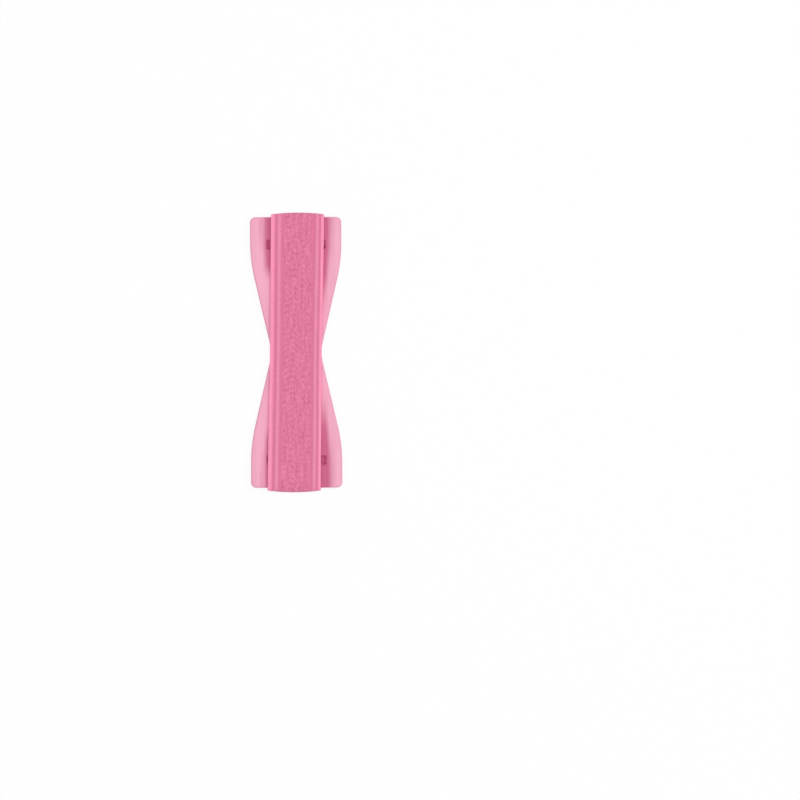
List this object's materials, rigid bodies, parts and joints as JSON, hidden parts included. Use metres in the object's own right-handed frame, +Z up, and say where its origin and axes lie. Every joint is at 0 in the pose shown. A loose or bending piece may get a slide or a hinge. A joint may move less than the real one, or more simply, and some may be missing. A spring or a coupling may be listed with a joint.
{
  "type": "phone finger strap",
  "caption": "Hourglass phone grip: a moulded plate with raised wings and a channel, a ribbed elastic band looped round its end bars to hold a finger, and an adhesive pad beneath.",
  "frame": {"origin": "middle of the adhesive pad's underside", "axes": "+Y along the strap, +X across it, +Z up, away from the surface the pad is stuck to"},
  "size_m": [0.0308, 0.0948, 0.0038],
  "materials": {
    "moulded_plastic": "satin pink moulding",
    "woven_elastic": "pink woven elastic with lengthwise ribs",
    "foam_tape": "matt rose acrylic foam tape"
  },
  "bodies": {
    "root": {"base_plate": "moulded_plastic", "elastic_strap": "woven_elastic", "adhesive_pad": "foam_tape"}
  },
  "joints": []
}
